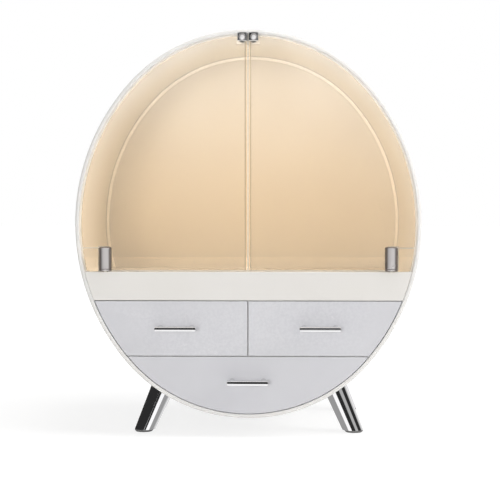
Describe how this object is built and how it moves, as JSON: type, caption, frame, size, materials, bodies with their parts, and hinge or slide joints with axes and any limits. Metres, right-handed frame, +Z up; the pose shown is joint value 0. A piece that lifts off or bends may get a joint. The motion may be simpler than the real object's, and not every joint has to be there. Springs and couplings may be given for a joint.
{
  "type": "makeup organizer",
  "caption": "Oval tabletop makeup organizer on splayed chrome legs, with clear amber swing doors over a display deck and pull-out drawers below.",
  "frame": {"origin": "centre of the object's bounding box on the table, under the feet", "axes": "+Z up, -Y out of the front with its doors and drawers, +X to the right seen from the front"},
  "size_m": [0.33, 0.216, 0.3885],
  "materials": {
    "shell_plastic": "warm white satin gloss",
    "drawer_plastic": "pale grey-lavender gloss",
    "amber_acrylic": "clear tea-coloured acrylic, polished",
    "clear_strip": "translucent",
    "chrome": "bright plated",
    "steel": "plain zinc",
    "rubber": "matt"
  },
  "bodies": {
    "cabinet": {"body_shell": "shell_plastic", "back_panel": "shell_plastic", "back_panel_screws": "steel", "back_screw_caps": "shell_plastic", "display_deck": "shell_plastic", "fascia_band": "shell_plastic", "middle_shelf": "shell_plastic", "centre_divider": "shell_plastic", "upper_drawer_rails": "shell_plastic", "lower_drawer_rails": "shell_plastic", "drawer_bumpers": "rubber", "left_corner_ear": "amber_acrylic", "right_corner_ear": "amber_acrylic", "left_hinge_pin": "steel", "right_hinge_pin": "steel", "hinge_washers": "clear_strip", "magnet_housing": "shell_plastic", "catch_magnets": "steel", "front_left_leg": "chrome", "front_right_leg": "chrome", "rear_left_leg": "chrome", "rear_right_leg": "chrome", "leg_screws": "steel", "foot_pads": "rubber"},
    "left_door": {"left_door_panel": "amber_acrylic", "left_hinge_sleeve": "chrome", "left_edge_strip": "clear_strip", "left_strike_plate": "chrome", "left_strike_stud": "steel"},
    "right_door": {"right_door_panel": "amber_acrylic", "right_hinge_sleeve": "chrome", "right_edge_strip": "clear_strip", "right_strike_plate": "chrome", "right_strike_stud": "steel"},
    "upper_left_drawer": {"upper_left_drawer_front": "drawer_plastic", "upper_left_drawer_tray": "shell_plastic", "upper_left_drawer_handle": "chrome", "upper_left_handle_screws": "steel"},
    "upper_right_drawer": {"upper_right_drawer_front": "drawer_plastic", "upper_right_drawer_tray": "shell_plastic", "upper_right_drawer_handle": "chrome", "upper_right_handle_screws": "steel"},
    "lower_drawer": {"lower_drawer_front": "drawer_plastic", "lower_drawer_tray": "shell_plastic", "lower_drawer_handle": "chrome", "lower_handle_screws": "steel"}
  },
  "joints": [
    {"name": "left_door_swing", "type": "hinge", "parent": "cabinet", "child": "left_door", "pos_m": [-0.1365, -0.0895, 0.17], "axis": [0, 0, -1], "range_deg": [0, 95]},
    {"name": "right_door_swing", "type": "hinge", "parent": "cabinet", "child": "right_door", "pos_m": [0.1365, -0.0895, 0.17], "axis": [0, 0, 1], "range_deg": [0, 95]},
    {"name": "upper_left_drawer_slide", "type": "slide", "parent": "cabinet", "child": "upper_left_drawer", "axis": [0, -1, 0], "range_m": [0, 0.12]},
    {"name": "upper_right_drawer_slide", "type": "slide", "parent": "cabinet", "child": "upper_right_drawer", "axis": [0, -1, 0], "range_m": [0, 0.12]},
    {"name": "lower_drawer_slide", "type": "slide", "parent": "cabinet", "child": "lower_drawer", "axis": [0, -1, 0], "range_m": [0, 0.12]}
  ]
}
